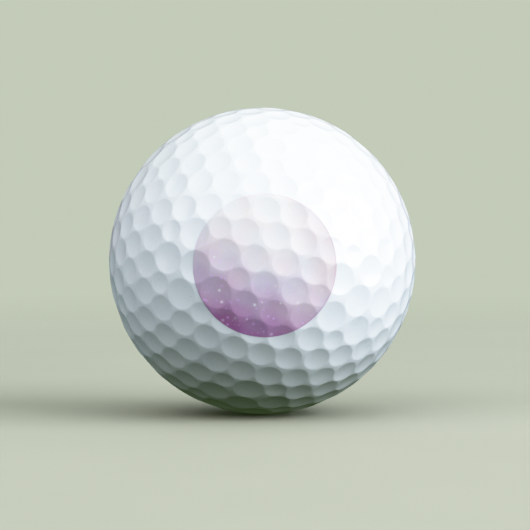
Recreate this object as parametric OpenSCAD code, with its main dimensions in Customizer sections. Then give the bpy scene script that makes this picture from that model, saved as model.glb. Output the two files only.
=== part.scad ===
// Golf ball of four nested layers with a round print on its front.
// Origin at the ball's centre, +Z up, print facing -Y, millimetres.

/* [Ball] */
// Diameter over the lands, the smooth strips between the dimples
ball_d = 42.7; // [42.67:0.01:43.2]

/* [Layers] */
// Thickness of the white cover at the lands
cover_t = 0.9; // [0.7:0.05:1.3]
// Thickness of the hard ionomer shell under the cover
mantle_t = 0.95; // [0.6:0.05:1.4]
// Diameter of the soft rubber ball in the middle
inner_core_d = 25.4; // [16:0.2:30]

/* [Dimples] */
// Rim diameter of the twelve dimples on the five-fold points
point_dimple_d = 4.38; // [4:0.01:4.39]
// Rim diameter of the five dimples round each of those
large_dimple_d = 4.26; // [4:0.01:4.27]
// Rim diameter of the dimples that fill the rest of the pattern
medium_dimple_d = 3.62; // [3.4:0.01:3.63]
// Rim diameter of the small fillers between large dimples
small_dimple_d = 2.94; // [2.6:0.01:2.95]
// Angle between a bowl and the ball's surface at the rim (degrees)
edge_angle = 14; // [11:0.5:18]

/* [Dimple layout] */
// From a five-fold point to the large dimples round it (degrees)
large_polar = 11.85; // [11.8:0.01:11.9]
// From a five-fold point to the small fillers (degrees)
small_polar = 16.73; // [16.7:0.01:16.76]
// From a five-fold point to the last dimple before each edge's middle (degrees)
edge_polar = 26.16; // [26.1:0.01:26.2]
// From a five-fold point to the pairs either side of that line (degrees)
pair_polar = 22.27; // [22.2:0.01:22.3]
// Turn of those pairs to each side of the line (degrees)
pair_turn = 22.73; // [22.7:0.01:22.76]
// From a three-fold point to its three nearest dimples (degrees)
trio_polar = 5.88; // [5.85:0.01:5.9]
// From a three-fold point to the three dimples beyond its sides (degrees)
side_polar = 11.62; // [11.6:0.01:11.65]

/* [How the pattern sits] */
// Lean of the top five-fold point about X (degrees)
pattern_lean = -25.98; // [-180:0.01:180]
// Roll of the pattern about Y (degrees)
pattern_roll = 4.38; // [-180:0.01:180]
// Turn of the pattern about Z (degrees)
pattern_turn = -9.52; // [-180:0.01:180]

/* [Print] */
// Diameter of the round print
print_d = 19; // [10:0.1:24]
// Thickness of its ink
print_t = 0.04; // [0.03:0.01:0.06]

/* [Hidden] */
ball_r = ball_d / 2;
mantle_r = ball_r - cover_t;
outer_core_r = mantle_r - mantle_t;
inner_core_r = inner_core_d / 2;

// A cutter is this much wider than its rim, less than half of the narrowest land,
// and ends this far above the ball.
cutter_side = 0.02;
cutter_head = 0.1;

// Angles of an icosahedron, measured at its centre (degrees)
vertex_ring = atan(2);
near_face = atan(3 - sqrt(5));
far_face = atan(3 + sqrt(5));

// Facets round the spheres and the print, and round a dimple's cutter
$fn = 180;
cutter_facets = 48;

five = [0, 72, 144, 216, 288];
three = [0, 120, 240];

// Five-fold points as [polar, azimuth, turn of the group that sits on it]
points = concat(
    [[0, 0, 0], [180, 0, 0]],
    [for (a = five) [vertex_ring, a, 180]],
    [for (a = five) [180 - vertex_ring, a + 36, 0]]
);

// Three-fold points, in the same form
faces = concat(
    [for (a = five) [near_face, a + 36, 180]],
    [for (a = five) [far_face, a + 36, 0]],
    [for (a = five) [180 - far_face, a, 180]],
    [for (a = five) [180 - near_face, a, 0]]
);

// Dimples of one group as [polar, azimuth, rim diameter]
point_group = concat(
    [[0, 0, point_dimple_d]],
    [for (a = five) [large_polar, a + 36, large_dimple_d]],
    [for (a = five) [small_polar, a, small_dimple_d]],
    [for (a = five) [edge_polar, a, medium_dimple_d]],
    [for (a = five) [pair_polar, a - pair_turn, medium_dimple_d]],
    [for (a = five) [pair_polar, a + pair_turn, medium_dimple_d]]
);
face_group = concat(
    [for (a = three) [trio_polar, a, medium_dimple_d]],
    [for (a = three) [side_polar, a + 60, medium_dimple_d]]
);

function about_x(v, a) = [v.x, v.y * cos(a) - v.z * sin(a), v.y * sin(a) + v.z * cos(a)];
function about_y(v, a) = [v.x * cos(a) + v.z * sin(a), v.y, v.z * cos(a) - v.x * sin(a)];
function about_z(v, a) = [v.x * cos(a) - v.y * sin(a), v.x * sin(a) + v.y * cos(a), v.z];

// Unit vector at a polar angle and azimuth
function direction(polar, azimuth) = about_z(about_y([0, 0, 1], polar), azimuth);

// A dimple of a group, carried to the site [polar, azimuth, turn]
function at_site(site, dimple) =
    about_z(about_y(direction(dimple[0], dimple[1] + site[2]), site[0]), site[1]);

// The whole pattern turned to the way it sits behind the print
function settled(v) = about_z(about_y(about_x(v, pattern_lean), pattern_roll), pattern_turn);

// Every dimple as [unit vector to its centre, rim radius]
dimples = concat(
    [for (site = points, d = point_group) [settled(at_site(site, d)), d[2] / 2]],
    [for (site = faces, d = face_group) [settled(at_site(site, d)), d[2] / 2]]
);

// The ones the print reaches
print_front = [0, -1, 0];
print_reach = asin(print_d / ball_d);
printed_dimples = [
    for (d = dimples)
        if (acos(d[0] * print_front) < print_reach + asin(d[1] / ball_r)) d
];

// Radius of the bowl that meets the ball's surface at the edge angle
function bowl_r(rim_r) = rim_r / sin(edge_angle - asin(rim_r / ball_r));

// One dimple's cutter, raised by lift along the bowl's own normals
module dimple_cutter(dimple, lift) {
    rim_r = dimple[1];
    axis = dimple[0];
    bowl = bowl_r(rim_r);
    bowl_z = sqrt(pow(ball_r, 2) - pow(rim_r, 2)) + sqrt(pow(bowl, 2) - pow(rim_r, 2));
    floor_z = bowl_z - bowl;
    rotate([0, acos(axis.z), atan2(axis.y, axis.x)])
        intersection() {
            translate([0, 0, bowl_z])
                sphere(r = bowl - lift);
            translate([0, 0, floor_z])
                cylinder(r = rim_r + cutter_side, h = ball_r + cutter_head - floor_z, $fn = cutter_facets);
        }
}

// Solid ball with some of the dimples cut in, its whole skin raised by lift
module dimpled_ball(cut, lift) {
    difference() {
        sphere(r = ball_r + lift);
        for (dimple = cut)
            dimple_cutter(dimple, lift);
    }
}

module shell(outer_r, inner_r) {
    difference() {
        sphere(r = outer_r);
        sphere(r = inner_r);
    }
}

module inner_core() {
    color([0.86, 0.44, 0.16])
        sphere(r = inner_core_r);
}

module outer_core() {
    color([0.16, 0.45, 0.62])
        shell(outer_core_r, inner_core_r);
}

module mantle() {
    color([0.93, 0.93, 0.9])
        shell(mantle_r, outer_core_r);
}

module cover() {
    color([0.96, 0.96, 0.95])
        difference() {
            sphere(r = ball_r);
            for (dimple = dimples)
                dimple_cutter(dimple, 0);
            sphere(r = mantle_r);
        }
}

module print() {
    color([0.74, 0.6, 0.84])
        difference() {
            intersection() {
                dimpled_ball(printed_dimples, print_t);
                rotate([90, 0, 0])
                    cylinder(d = print_d, h = ball_d);
            }
            dimpled_ball(printed_dimples, 0);
        }
}

inner_core();
outer_core();
mantle();
cover();
print();
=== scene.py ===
import math

import bmesh
import bpy
import numpy as np
from mathutils import Matrix, Vector
from mathutils.geometry import delaunay_2d_cdt


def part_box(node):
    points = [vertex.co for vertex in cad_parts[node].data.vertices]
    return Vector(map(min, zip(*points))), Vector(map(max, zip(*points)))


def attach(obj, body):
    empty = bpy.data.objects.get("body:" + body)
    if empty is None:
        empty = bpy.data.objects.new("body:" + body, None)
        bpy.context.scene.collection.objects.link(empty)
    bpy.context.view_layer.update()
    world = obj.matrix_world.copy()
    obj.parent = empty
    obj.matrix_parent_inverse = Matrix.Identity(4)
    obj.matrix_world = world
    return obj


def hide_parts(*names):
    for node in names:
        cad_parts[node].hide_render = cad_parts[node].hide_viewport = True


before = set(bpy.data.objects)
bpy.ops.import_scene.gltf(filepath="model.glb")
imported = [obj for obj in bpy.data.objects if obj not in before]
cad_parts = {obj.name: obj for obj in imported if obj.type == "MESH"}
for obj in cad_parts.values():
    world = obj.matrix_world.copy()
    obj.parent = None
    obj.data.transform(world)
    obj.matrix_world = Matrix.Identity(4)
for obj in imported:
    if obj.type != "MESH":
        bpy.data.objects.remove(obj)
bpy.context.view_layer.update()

# ---------------------------------------------------------------- sizes
# Lengths are in millimetres and angles in degrees unless a name says otherwise, and the values
# are the CAD source's own.
MM = 0.001
BALL_R = max(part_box("cover")[1]) / MM
MANTLE_R, OUTER_CORE_R, INNER_CORE_R = (
    max(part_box(node)[1]) / MM for node in ("mantle", "outer_core", "inner_core")
)
PRINT_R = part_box("print")[1].x / MM
PRINT_T = 0.04
EDGE_ANGLE = math.radians(14.0)
POINT_R, LARGE_R, MEDIUM_R, SMALL_R = 2.19, 2.13, 1.81, 1.47

# How far from its group's middle each dimple sits
LARGE_POLAR, SMALL_POLAR, EDGE_POLAR, PAIR_POLAR, PAIR_TURN = 11.85, 16.73, 26.16, 22.27, 22.73
TRIO_POLAR, SIDE_POLAR = 5.88, 11.62
# How the pattern sits behind the print
LEAN, ROLL, TURN = -25.98, 4.38, -9.52

# Depth over which a bowl's rim is rounded, each way from the ball's surface
RIM_SOFTNESS = 0.03

# ---------------------------------------------------------------- dimple layout


def spherical(polar, azimuth):
    p, a = np.radians(polar), np.radians(azimuth)
    return np.array([np.sin(p) * np.cos(a), np.sin(p) * np.sin(a), np.cos(p)])


def turn(axis, degrees):
    return np.array(Matrix.Rotation(math.radians(degrees), 3, axis))


def dimple_layout():
    """Unit vectors to the dimples' centres, and their rim radii.

    A group sits on each five-fold point of an icosahedron, and another on each three-fold point.
    """
    five, three = range(0, 360, 72), range(0, 360, 120)
    ring, near, far = (
        math.degrees(math.atan(t)) for t in (2, 3 - math.sqrt(5), 3 + math.sqrt(5))
    )
    points = [(0, 0, 0), (180, 0, 0)]
    points += [(ring, a, 180) for a in five] + [(180 - ring, a + 36, 0) for a in five]
    faces = [(near, a + 36, 180) for a in five] + [(far, a + 36, 0) for a in five]
    faces += [(180 - far, a, 180) for a in five] + [(180 - near, a, 0) for a in five]
    point_group = [(0, 0, POINT_R)]
    for a in five:
        point_group += [
            (LARGE_POLAR, a + 36, LARGE_R),
            (SMALL_POLAR, a, SMALL_R),
            (EDGE_POLAR, a, MEDIUM_R),
            (PAIR_POLAR, a - PAIR_TURN, MEDIUM_R),
            (PAIR_POLAR, a + PAIR_TURN, MEDIUM_R),
        ]
    face_group = [(TRIO_POLAR, a, MEDIUM_R) for a in three]
    face_group += [(SIDE_POLAR, a + 60, MEDIUM_R) for a in three]
    settle = turn("Z", TURN) @ turn("Y", ROLL) @ turn("X", LEAN)
    axes, radii = [], []
    for sites, group in ((points, point_group), (faces, face_group)):
        for polar, azimuth, twist in sites:
            carry = settle @ turn("Z", azimuth) @ turn("Y", polar)
            for p, a, r in group:
                axes.append(carry @ spherical(p, a + twist))
                radii.append(r)
    return np.array(axes), np.array(radii)


AXES, RADII = dimple_layout()
# Each dimple's half angle at the ball's centre (radians), its bowl's radius, and the distance
# from the ball's centre to the bowl's
RIM = np.arcsin(RADII / BALL_R)
BOWL = RADII / np.sin(EDGE_ANGLE - RIM)
BOWL_Z = np.sqrt(BALL_R**2 - RADII**2) + np.sqrt(BOWL**2 - RADII**2)


def skin(dirs):
    """The cover's surface along unit vectors: its radius, and its normals.

    Where a bowl meets the land, the edge is rounded over.
    """
    batch = 20000
    radius = np.full(len(dirs), BALL_R)
    slope = np.zeros((len(dirs), 3))
    for start in range(0, len(dirs), batch):
        part = slice(start, start + batch)
        d = dirs[part]
        cosines = np.clip(d @ AXES.T, -1, 1)
        near = np.argpartition(np.arccos(cosines) - RIM, 3, axis=1)[:, :3]
        for k in range(3):
            i = near[:, k]
            c = np.take_along_axis(cosines, i[:, None], 1)[:, 0]
            s = np.sqrt(np.maximum(1 - c * c, 1e-18))
            reach = np.sqrt(np.maximum(BOWL[i] ** 2 - (BOWL_Z[i] * s) ** 2, 1e-9))
            depth = BALL_R - (BOWL_Z[i] * c - reach)
            steep = -BOWL_Z[i] * s + BOWL_Z[i] ** 2 * s * c / reach
            share = np.clip((depth + RIM_SOFTNESS) / (2 * RIM_SOFTNESS), 0, 1)
            radius[part] -= np.where(
                depth > RIM_SOFTNESS, depth, share**2 * RIM_SOFTNESS
            )
            outward = (d * c[:, None] - AXES[i]) / s[:, None]
            slope[part] += (share * steep)[:, None] * outward
    normals = dirs * radius[:, None] - slope
    return radius, normals / np.linalg.norm(normals, axis=1)[:, None]


def unit_frame(axis):
    """Two unit vectors square to an axis."""
    side = np.cross(axis, [0.0, 0.0, 1.0] if abs(axis[2]) < 0.9 else [1.0, 0.0, 0.0])
    side /= np.linalg.norm(side)
    return side, np.cross(axis, side)


def circle(axis, angle, count):
    """Unit vectors evenly round an axis, at an angle from it."""
    side, up = unit_frame(axis)
    a = np.arange(count) * 2 * math.pi / count
    ring = np.outer(np.cos(a), side) + np.outer(np.sin(a), up)
    return math.cos(angle) * axis + math.sin(angle) * ring


def cover_points():
    """Directions that carry the cover's outside.

    Rings run from each dimple's middle out over its rounded rim. Outside the rim, points that
    come too near a neighbour's rings are left out.
    """
    edge_w = RIM_SOFTNESS / math.tan(EDGE_ANGLE)
    neighbours, clearance, rim_count = 8, 0.05, 30
    out = [AXES]
    for n, (axis, r) in enumerate(zip(AXES, RADII)):
        near = np.argsort(-(AXES @ axis))[1 : neighbours + 1]
        rings = [(0.34 * r, 10), (0.64 * r, 20), (0.86 * r, rim_count)]
        rings += [(r + step * edge_w, rim_count) for step in (-1, -0.5, 0, 0.5, 1)]
        for arc, count in rings:
            ring = circle(axis, RIM[n] * arc / r, count)
            if arc > r:
                gap = (np.arccos(ring @ AXES[near].T) - RIM[near]) * BALL_R
                ring = ring[gap.min(1) > arc - r + clearance]
            out.append(ring)
    return np.vstack(out)


def sphere_triangles(dirs, pole):
    """Delaunay triangles over unit vectors, facing outward.

    The vectors are laid flat as seen from the one numbered pole, which keeps circles circular.
    """
    axis = dirs[pole]
    side, up = unit_frame(axis)
    others = np.delete(np.arange(len(dirs)), pole)
    d = dirs[others]
    flat = np.stack([d @ side, d @ up], 1) / (1 - d @ axis)[:, None]
    found = delaunay_2d_cdt([Vector(p) for p in flat], [], [], 0, 0.0, True)
    back = np.array([others[ids[0]] for ids in found[3]])
    tris = back[np.array(found[2])]
    edges = np.sort(np.vstack([tris[:, [0, 1]], tris[:, [1, 2]], tris[:, [2, 0]]]), 1)
    edges, uses = np.unique(edges, axis=0, return_counts=True)
    hull = edges[uses == 1]
    tris = np.vstack([tris, np.column_stack([hull, np.full(len(hull), pole)])])
    a, b, c = (dirs[tris[:, k]] for k in range(3))
    inward = np.einsum("ij,ij->i", np.cross(b - a, c - a), a) < 0
    tris[inward] = tris[inward][:, ::-1]
    return tris


def new_piece(name, verts, faces, normals, node, material):
    """A smooth-shaded piece that stands for a CAD node and rides on the one body."""
    mesh = bpy.data.meshes.new(name)
    mesh.from_pydata((np.asarray(verts) * MM).tolist(), [], np.asarray(faces).tolist())
    mesh.update()
    mesh.shade_smooth()
    mesh.normals_split_custom_set_from_vertices(np.asarray(normals).tolist())
    mesh.materials.append(material)
    obj = bpy.data.objects.new(name, mesh)
    bpy.context.scene.collection.objects.link(obj)
    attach(obj, "root")
    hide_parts(node)
    return obj


class Shader:
    """A node material built by short calls. Lengths go in as millimetres."""

    def __init__(self, name):
        self.material = bpy.data.materials.new(name)
        self.material.use_nodes = True
        self.nodes = self.material.node_tree.nodes
        self.links = self.material.node_tree.links
        self.nodes.clear()
        place = self.nodes.new("ShaderNodeTexCoord")
        scale = self.nodes.new("ShaderNodeVectorMath")
        scale.operation = "SCALE"
        scale.inputs["Scale"].default_value = 1 / MM
        self.links.new(place.outputs["Object"], scale.inputs[0])
        self.place = scale.outputs[0]

    def put(self, socket, value):
        if isinstance(value, bpy.types.NodeSocket):
            self.links.new(value, socket)
        elif isinstance(value, (tuple, list)) and len(socket.default_value) == 4:
            socket.default_value = (*value[:3], 1.0)
        else:
            socket.default_value = value

    def node(self, kind, inputs, **settings):
        made = self.nodes.new(kind)
        for key, value in settings.items():
            setattr(made, key, value)
        for key, value in inputs.items():
            self.put(made.inputs[key], value)
        return made

    def math(self, operation, a, b=0.0, c=0.0):
        return self.node(
            "ShaderNodeMath", {0: a, 1: b, 2: c}, operation=operation
        ).outputs[0]

    def noise(self, size, detail=2.0, roughness=0.5, place=None):
        return self.node(
            "ShaderNodeTexNoise",
            {
                "Vector": place or self.place,
                "Scale": 1 / size,
                "Detail": detail,
                "Roughness": roughness,
            },
        ).outputs["Fac"]

    def spread(self, value, low, high, to_low=0.0, to_high=1.0, smooth=False):
        return self.node(
            "ShaderNodeMapRange",
            {
                "Value": value,
                "From Min": low,
                "From Max": high,
                "To Min": to_low,
                "To Max": to_high,
            },
            interpolation_type="SMOOTHSTEP" if smooth else "LINEAR",
        ).outputs[0]

    def blend(self, a, b, share):
        mix = self.nodes.new("ShaderNodeMix")
        mix.data_type = "RGBA"
        self.put(mix.inputs["Factor"], share)
        self.put(
            [s for s in mix.inputs if s.name == "A" and s.type == "RGBA"][0], a
        )
        self.put(
            [s for s in mix.inputs if s.name == "B" and s.type == "RGBA"][0], b
        )
        return [s for s in mix.outputs if s.type == "RGBA"][0]

    def bump(self, height, depth, under=None):
        """Normals of a surface whose height, 0 to 1, stands depth millimetres high."""
        inputs = {"Height": height, "Distance": depth * MM, "Strength": 1.0}
        if under is not None:
            inputs["Normal"] = under
        return self.node("ShaderNodeBump", inputs).outputs[0]

    def finish(self, **inputs):
        surface = self.nodes.new("ShaderNodeBsdfPrincipled")
        for key, value in inputs.items():
            self.put(surface.inputs[key.replace("_", " ")], value)
        out = self.nodes.new("ShaderNodeOutputMaterial")
        self.links.new(surface.outputs[0], out.inputs["Surface"])
        return self.material


def white_paint():
    """White paint under a clear coat, with faint clouding, orange peel, dust and hairline rubs."""
    s = Shader("white_paint")
    dust_spacing = 2.4
    cloud = s.noise(5.0, 3.0, 0.55)
    fine = s.noise(0.5, 3.0, 0.6)
    tone = s.math("ADD", s.math("MULTIPLY", cloud, 0.75), s.math("MULTIPLY", fine, 0.25))
    colour = s.blend((0.84, 0.86, 0.88), (0.885, 0.90, 0.91), s.spread(tone, 0.35, 0.65))
    dust = s.node(
        "ShaderNodeTexVoronoi", {"Vector": s.place, "Scale": 1 / dust_spacing}
    ).outputs["Distance"]
    colour = s.blend((0.62, 0.61, 0.58), colour, s.spread(dust, 0.018, 0.034, smooth=True))
    rubs = s.node(
        "ShaderNodeMapping",
        {"Vector": s.place, "Rotation": (0.7, 0.4, 0.3), "Scale": (0.15, 2.6, 1.4)},
    )
    rub = s.spread(s.noise(1.0, 4.0, 0.7, rubs.outputs[0]), 0.6, 0.72, smooth=True)
    rough = s.math("ADD", s.spread(fine, 0.3, 0.7, 0.27, 0.35), s.math("MULTIPLY", rub, 0.08))
    peel = s.bump(s.noise(0.42, 1.0), 0.0012)
    peel = s.bump(s.noise(0.11, 1.0), 0.00025, peel)
    return s.finish(
        Base_Color=colour,
        Roughness=rough,
        Normal=peel,
        Coat_Weight=0.7,
        Coat_Roughness=s.spread(rub, 0, 1, 0.09, 0.2),
        Coat_Normal=peel,
        Subsurface_Weight=0.1,
        Subsurface_Radius=(1.0, 0.95, 0.9),
        Subsurface_Scale=0.5 * MM,
    )


def speck_layer(s, flat, cell, small, large, share, offset):
    """Soft round dots of uneven strength, as 0 to 1.

    A loose grid's cells, cell across, hold at most one dot each. Its radius is between small and
    large, a share of the cells have one, and offset shifts the grid.
    """
    moved = s.node(
        "ShaderNodeVectorMath", {0: flat, 1: (offset, -offset, 0.0)}, operation="ADD"
    ).outputs[0]
    grid = s.node(
        "ShaderNodeTexVoronoi",
        {"Vector": moved, "Scale": 1 / cell, "Randomness": 0.95},
        voronoi_dimensions="2D",
    )
    chance = s.node("ShaderNodeSeparateColor", {"Color": grid.outputs["Color"]})
    size = s.spread(chance.outputs[0], 0, 1, small / cell, large / cell)
    away = s.math("DIVIDE", grid.outputs["Distance"], size)
    falloff = s.math("EXPONENT", s.math("MULTIPLY", s.math("POWER", away, 2.0), -2.5))
    strength = s.math("LESS_THAN", chance.outputs[1], share)
    strength = s.math("MULTIPLY", strength, s.spread(chance.outputs[2], 0, 1, 0.35, 1.0))
    return s.math("MULTIPLY", falloff, strength)


# The print's colours from its bottom, 0, to its top, 1
FADE = (
    (0.0, (0.50, 0.24, 0.46)),
    (0.1, (0.57, 0.37, 0.55)),
    (0.25, (0.68, 0.56, 0.66)),
    (0.4, (0.78, 0.71, 0.76)),
    (0.52, (0.85, 0.81, 0.82)),
    (0.7, (0.89, 0.87, 0.85)),
    (1.0, (0.90, 0.89, 0.86)),
)

# Layers of specks: cell, smallest and largest radius, share of cells, offset, colour, strength
SPECKS = (
    (0.55, 0.05, 0.15, 0.35, 3.1, (0.80, 0.72, 0.92), 0.5),
    (1.05, 0.12, 0.28, 0.45, 7.7, (0.88, 0.65, 0.98), 0.9),
    (2.2, 0.15, 0.33, 0.5, 5.3, (1.0, 0.97, 1.0), 1.0),
)


def print_ink():
    """Ink that fades from near white to mauve down the disc, with small light specks low down."""
    s = Shader("print_ink")
    plain = (1.0, 1.0, 1.0)
    parts = s.node("ShaderNodeSeparateXYZ", {"Vector": s.place})
    x, z = (s.math("MULTIPLY", parts.outputs[i], 1 / PRINT_R) for i in (0, 2))
    flat = s.node("ShaderNodeCombineXYZ", {"X": parts.outputs[0], "Y": parts.outputs[2]})
    flat = flat.outputs[0]
    height = s.math("ADD", s.math("MULTIPLY", z, 0.92), s.math("MULTIPLY", x, 0.38))
    height = s.math("ADD", height, s.spread(s.noise(6.5, 2.0), 0.25, 0.75, -0.14, 0.14))
    height = s.math("ADD", height, s.spread(s.noise(1.9, 3.0), 0.25, 0.75, -0.05, 0.05))
    fade = s.nodes.new("ShaderNodeValToRGB")
    s.put(fade.inputs[0], s.spread(height, -1, 1))
    ramp = fade.color_ramp
    ramp.interpolation = "EASE"
    while len(ramp.elements) < len(FADE):
        ramp.elements.new(0.5)
    for element, (at, colour) in zip(ramp.elements, FADE):
        element.position = at
        element.color = (*colour, 1.0)
    side = s.math("ADD", s.math("MULTIPLY", x, 0.95), s.math("MULTIPLY", z, 0.3))
    # Toward the right and a little up, the ink turns pinker and darker. This is partly the print's
    # own pink tint and partly painted shade, which dims the ink where the key light falls
    # strongest.
    pink_tint_and_painted_shade = s.blend(plain, (0.86, 0.81, 0.82), s.spread(side, 0.3, 1.0, smooth=True))
    out = s.node("ShaderNodeVectorMath", {0: flat}, operation="LENGTH").outputs["Value"]
    edge = s.spread(out, PRINT_R - 0.28, PRINT_R - 0.05, smooth=True)
    edge = s.math("MULTIPLY", edge, s.spread(side, -0.5, 0.7, smooth=True))
    edge = s.blend(plain, (0.94, 0.86, 0.92), edge)
    drift = s.spread(s.noise(4.2, 1.0), 0.35, 0.65)
    tint = s.blend((1.025, 0.98, 0.99), (0.975, 0.99, 1.02), drift)
    colour = fade.outputs[0]
    for layer in (pink_tint_and_painted_shade, edge, tint):
        colour = s.node(
            "ShaderNodeVectorMath", {0: colour, 1: layer}, operation="MULTIPLY"
        ).outputs[0]
    low = s.spread(height, 0.25, -0.35, smooth=True)
    for *dots, speck, strength in SPECKS:
        amount = s.math("MULTIPLY", low, strength)
        amount = s.math("MULTIPLY", speck_layer(s, flat, *dots), amount)
        colour = s.blend(colour, speck, amount)
    grain = s.spread(s.noise(0.07, 1.0), 0.3, 0.7, 0.945, 1.015)
    colour = s.node(
        "ShaderNodeVectorMath", {0: colour, "Scale": grain}, operation="SCALE"
    ).outputs[0]
    fine = s.noise(0.4, 3.0, 0.6)
    return s.finish(
        Base_Color=colour,
        Roughness=s.spread(fine, 0.3, 0.7, 0.42, 0.52),
        Normal=s.bump(s.noise(0.3, 2.0), 0.001),
        Diffuse_Roughness=0.8,
        Coat_Weight=0.15,
        Coat_Roughness=0.25,
    )


def core_rubber(name, base, fleck, fleck_size):
    """Ground rubber: flecks of filler in a matte skin with a grinding wheel's fine lines."""
    s = Shader(name)
    grain = s.noise(0.9, 5.0, 0.65)
    dark = tuple(0.72 * v for v in base)
    colour = s.blend(dark, base, s.spread(grain, 0.3, 0.65))
    dots = s.node(
        "ShaderNodeTexVoronoi", {"Vector": s.place, "Scale": 1 / fleck_size}
    ).outputs["Distance"]
    colour = s.blend(fleck, colour, s.spread(dots, 0.09, 0.16, smooth=True))
    lines = s.node(
        "ShaderNodeTexWave",
        {"Vector": s.place, "Scale": 1.6, "Distortion": 1.5, "Detail": 2.0},
        bands_direction="Z",
    ).outputs["Fac"]
    bump = s.bump(grain, 0.02)
    bump = s.bump(lines, 0.004, bump)
    return s.finish(
        Base_Color=colour, Roughness=s.spread(grain, 0.3, 0.7, 0.62, 0.82), Normal=bump
    )


def mantle_resin():
    """Unpainted ionomer: milky, a little translucent, with flow clouding."""
    s = Shader("mantle_resin")
    flow = s.noise(7.0, 4.0, 0.6)
    colour = s.blend((0.70, 0.70, 0.64), (0.84, 0.84, 0.80), s.spread(flow, 0.3, 0.7))
    fine = s.noise(0.35, 2.0)
    return s.finish(
        Base_Color=colour,
        Roughness=s.spread(fine, 0.3, 0.7, 0.32, 0.46),
        Normal=s.bump(fine, 0.003),
        Subsurface_Weight=0.35,
        Subsurface_Radius=(1.2, 1.1, 0.9),
        Subsurface_Scale=1.0 * MM,
    )


# ---------------------------------------------------------------- pieces
paint = white_paint()
ink = print_ink()
OUTER_RUBBER = ((0.10, 0.27, 0.42), (0.5, 0.55, 0.6), 1.7)
INNER_RUBBER = ((0.78, 0.30, 0.09), (0.9, 0.75, 0.55), 1.3)

dirs = cover_points()
radius, normals = skin(dirs)
tris = sphere_triangles(dirs, 0)


def unit_sphere():
    """Unit vectors spread evenly over a sphere, and the triangles between them, facing outward."""
    bm = bmesh.new()
    bmesh.ops.create_icosphere(bm, subdivisions=5, radius=1.0)
    verts = np.array([v.co for v in bm.verts])
    faces = np.array([[v.index for v in f.verts] for f in bm.faces])
    bm.free()
    return verts, faces


ROUND, ROUND_TRIS = unit_sphere()


def with_inside(points, faces, facing, r):
    """A layer's outside with a sphere facing inward added, at the radius where the next starts."""
    return (
        np.vstack([points, ROUND * r]),
        np.vstack([faces, ROUND_TRIS[:, ::-1] + len(points)]),
        np.vstack([facing, -ROUND]),
    )


cover = with_inside(dirs * radius[:, None], tris, normals, MANTLE_R)
new_piece("cover_shell", *cover, "cover", paint)
mantle = with_inside(ROUND * MANTLE_R, ROUND_TRIS, ROUND, OUTER_CORE_R)
new_piece("mantle_shell", *mantle, "mantle", mantle_resin())
rubber = core_rubber("outer_core_rubber", *OUTER_RUBBER)
outer_core = with_inside(ROUND * OUTER_CORE_R, ROUND_TRIS, ROUND, INNER_CORE_R)
new_piece("outer_core_shell", *outer_core, "outer_core", rubber)
rubber = core_rubber("inner_core_rubber", *INNER_RUBBER)
new_piece("inner_core_ball", ROUND * INNER_CORE_R, ROUND_TRIS, ROUND, "inner_core", rubber)


def print_film():
    """A film of ink that follows the lands and dimples, closed below, with a rounded edge."""
    margin, flat_inset, lip_inset, lip_height, edge = 0.12, 0.05, 0.02, 0.55, 300
    points = dirs * radius[:, None]
    across = np.hypot(points[:, 0], points[:, 2])
    body = dirs[(across < PRINT_R - margin) & (points[:, 1] < 0)]
    around = np.arange(edge) * 2 * math.pi / edge

    def rim(inset):
        """Directions to a ring on the skin, that far inside the print's edge."""
        r = np.full(edge, BALL_R)
        for _ in range(6):
            out = np.arcsin((PRINT_R - inset) / r)
            d = np.stack(
                [
                    np.sin(out) * np.cos(around),
                    -np.cos(out),
                    np.sin(out) * np.sin(around),
                ],
                1,
            )
            r = skin(d)[0]
        return d

    outer = rim(0.0)
    body = np.vstack([body, rim(flat_inset)])
    top = np.vstack([body, rim(lip_inset)])
    count = len(body)
    r, n = skin(top)
    upper = top * (r + PRINT_T)[:, None]
    shoulder = outer * (skin(outer)[0] + lip_height * PRINT_T)[:, None]
    foot = outer * skin(outer)[0][:, None]
    under = body * r[:count, None]
    verts = np.vstack([upper, shoulder, foot, under])
    flat = [Vector((p[0], p[2])) for p in upper]
    face = np.array(delaunay_2d_cdt(flat, [], [], 0, 0.0, False)[2])
    face_normals = np.cross(
        upper[face[:, 1]] - upper[face[:, 0]], upper[face[:, 2]] - upper[face[:, 0]]
    )
    wrong = face_normals[:, 1] > 0
    face[wrong] = face[wrong][:, ::-1]
    first = {"top": count, "shoulder": count + edge, "foot": count + 2 * edge}
    below = count + 3 * edge
    lower = np.where(face < count, face + below, face - count + first["foot"])[:, ::-1]
    sides = []
    for a, b in (("top", "shoulder"), ("shoulder", "foot")):
        for i in range(edge):
            j = (i + 1) % edge
            quad = (first[a] + i, first[b] + i, first[b] + j, first[a] + j)
            sides += [(quad[0], quad[1], quad[2]), (quad[0], quad[2], quad[3])]
    side_out = np.stack([np.cos(around), np.zeros(edge), np.sin(around)], 1)
    lip = n[count:] + side_out
    lip /= np.linalg.norm(lip, axis=1)[:, None]
    normals = np.vstack([n[:count], lip, side_out, side_out, -n[:count]])
    return verts, np.vstack([face, lower, np.array(sides)]), normals


new_piece("print_film", *print_film(), "print", ink)

# ---------------------------------------------------------------- stage, light and camera
BACKDROP = (0.66, 0.71, 0.60)
PAPER = (0.45, 0.445, 0.36), (0.47, 0.465, 0.375)
HAZE_START, HAZE_END = 40.0, 420.0
FLOOR_RINGS_M = (0.01, 0.03, 0.1, 0.3, 0.8, 1.6, 2.5)
# Light from the sky, which is full from SKY_TOP (the sine of its height) upward
HORIZON, OVERHEAD, SKY_TOP = (0.22, 0.21, 0.24), (0.98, 1.07, 1.07), 0.77
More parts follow.
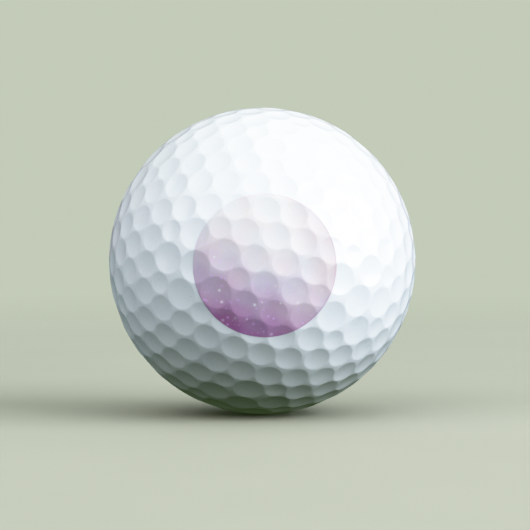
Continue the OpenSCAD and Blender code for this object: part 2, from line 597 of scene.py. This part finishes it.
# Light from the ground under the ball and round it, and the distances where one turns to the other
TURF_BELOW, TURF_ROUND = (0.075, 0.11, 0.045), (0.23, 0.29, 0.29)
TURF_START, TURF_END = 15.0, 45.0
LIGHT_SIZE_M, LIGHT_DISTANCE_M = 1.0, 0.9
CAMERA_AZIMUTH, CAMERA_HEIGHT, CAMERA_DISTANCE_M = -1.0, 1.7, 0.3568
CAMERA_AIM_M = (0.00037, 0.0, -0.00056)
LENS_MM, SENSOR_MM = 173.6, 36.0
# The camera's response: the brightest light it takes, its contrast, and where highlights roll off
WHITE_LEVEL, SHADOW_GAMMA, SHOULDER, RESPONSE_STEPS = 3.0, 1.4, 0.3, 20


def floor():
    """A pale round floor that fades into the backdrop.

    Only the camera sees it pale. The light it throws back up is a lawn's, darkest under the ball.
    """
    count, floor_z = 96, -BALL_R * MM
    verts = [(0.0, 0.0, floor_z)]
    for r in FLOOR_RINGS_M:
        for i in range(count):
            a = 2 * math.pi * i / count
            verts.append((r * math.cos(a), r * math.sin(a), floor_z))
    faces = [(0, 1 + i, 1 + (i + 1) % count) for i in range(count)]
    for k in range(len(FLOOR_RINGS_M) - 1):
        for i in range(count):
            j = (i + 1) % count
            a, b = 1 + k * count, 1 + (k + 1) * count
            faces.append((a + i, b + i, b + j, a + j))
    mesh = bpy.data.meshes.new("studio_floor")
    mesh.from_pydata(verts, [], faces)
    s = Shader("studio_paper")
    tone = s.spread(s.noise(60.0, 3.0), 0.3, 0.7)
    s.finish(Base_Color=s.blend(*PAPER, tone), Roughness=0.9)
    lit = s.nodes["Principled BSDF"].outputs[0]
    flat = s.node("ShaderNodeVectorMath", {0: s.place, 1: (1, 1, 0)}, operation="MULTIPLY")
    far = s.node("ShaderNodeVectorMath", {0: flat.outputs[0]}, operation="LENGTH")
    far = far.outputs["Value"]
    haze = s.spread(far, HAZE_START, HAZE_END, smooth=True)
    glow = s.node("ShaderNodeEmission", {"Color": BACKDROP})
    pale = s.node("ShaderNodeMixShader", {0: haze, 1: lit, 2: glow.outputs[0]})
    turf = s.blend(TURF_BELOW, TURF_ROUND, s.spread(far, TURF_START, TURF_END))
    bounce = s.node("ShaderNodeEmission", {"Color": turf})
    seen = s.nodes.new("ShaderNodeLightPath").outputs["Is Camera Ray"]
    mixed = s.node("ShaderNodeMixShader", {0: seen, 1: bounce.outputs[0], 2: pale.outputs[0]})
    s.links.new(mixed.outputs[0], s.nodes["Material Output"].inputs["Surface"])
    mesh.materials.append(s.material)
    obj = bpy.data.objects.new("studio_floor", mesh)
    bpy.context.scene.collection.objects.link(obj)


def sky():
    """Soft light from all round, brighter overhead. The camera sees the pale backdrop instead."""
    world = bpy.data.worlds.new("studio")
    bpy.context.scene.world = world
    world.use_nodes = True
    tree = world.node_tree
    tree.nodes.clear()
    toward = tree.nodes.new("ShaderNodeTexCoord")
    parts = tree.nodes.new("ShaderNodeSeparateXYZ")
    climb = tree.nodes.new("ShaderNodeMapRange")
    climb.inputs["From Max"].default_value = SKY_TOP
    shade = tree.nodes.new("ShaderNodeMixRGB")
    shade.inputs[1].default_value = (*HORIZON, 1.0)
    shade.inputs[2].default_value = (*OVERHEAD, 1.0)
    light = tree.nodes.new("ShaderNodeBackground")
    tree.links.new(toward.outputs["Generated"], parts.inputs[0])
    tree.links.new(parts.outputs[2], climb.inputs["Value"])
    tree.links.new(climb.outputs[0], shade.inputs[0])
    tree.links.new(shade.outputs[0], light.inputs[0])
    plain = tree.nodes.new("ShaderNodeBackground")
    plain.inputs[0].default_value = (*BACKDROP, 1.0)
    mix = tree.nodes.new("ShaderNodeMixShader")
    seen = tree.nodes.new("ShaderNodeLightPath")
    out = tree.nodes.new("ShaderNodeOutputWorld")
    tree.links.new(seen.outputs["Is Camera Ray"], mix.inputs[0])
    tree.links.new(light.outputs[0], mix.inputs[1])
    tree.links.new(plain.outputs[0], mix.inputs[2])
    tree.links.new(mix.outputs[0], out.inputs["Surface"])


def outward(azimuth, elevation):
    """Unit vector from the ball: azimuth 0 is out through the print and 90 is +X."""
    a, e = math.radians(azimuth), math.radians(elevation)
    return Vector((math.sin(a) * math.cos(e), -math.cos(a) * math.cos(e), math.sin(e)))


def soft_light(name, azimuth, elevation, watts, colour):
    """A square area light that faces the ball."""
    data = bpy.data.lights.new(name, "AREA")
    data.size, data.energy, data.color = LIGHT_SIZE_M, watts, colour
    obj = bpy.data.objects.new(name, data)
    toward = outward(azimuth, elevation)
    obj.location = LIGHT_DISTANCE_M * toward
    obj.visible_camera = False
    obj.rotation_euler = toward.to_track_quat("Z", "Y").to_euler()
    bpy.context.scene.collection.objects.link(obj)


def camera_response():
    """The camera's contrast: deep shadows and a long soft shoulder in the highlights."""
    view = bpy.context.scene.view_settings
    view.view_transform = "Standard"
    view.use_curve_mapping = True
    view.curve_mapping.white_level = (WHITE_LEVEL,) * 3
    points = view.curve_mapping.curves[3].points
    for i in range(RESPONSE_STEPS + 1):
        place = (i / RESPONSE_STEPS) ** 2
        tone = (WHITE_LEVEL * place) ** SHADOW_GAMMA
        if tone > SHOULDER:
            room = 1 - SHOULDER
            tone = SHOULDER + room * math.tanh((tone - SHOULDER) / room)
        if i in (0, RESPONSE_STEPS):
            points[0 if i == 0 else -1].location = (place, tone)
        else:
            points.new(place, tone)
    view.curve_mapping.update()


floor()
sky()
soft_light("key", 65, 13, 19.8, (0.87, 0.91, 1.0))
soft_light("fill", -45, 30, 4.2, (0.90, 0.91, 1.0))

camera_data = bpy.data.cameras.new("camera")
camera_data.lens, camera_data.sensor_width = LENS_MM, SENSOR_MM
camera_data.clip_start, camera_data.clip_end = 0.01, 20.0
camera = bpy.data.objects.new("camera", camera_data)
camera.location = CAMERA_DISTANCE_M * outward(CAMERA_AZIMUTH, CAMERA_HEIGHT)
backward = camera.location - Vector(CAMERA_AIM_M)
camera.rotation_euler = backward.to_track_quat("Z", "Y").to_euler()
bpy.context.scene.collection.objects.link(camera)
bpy.context.scene.camera = camera
camera_response()
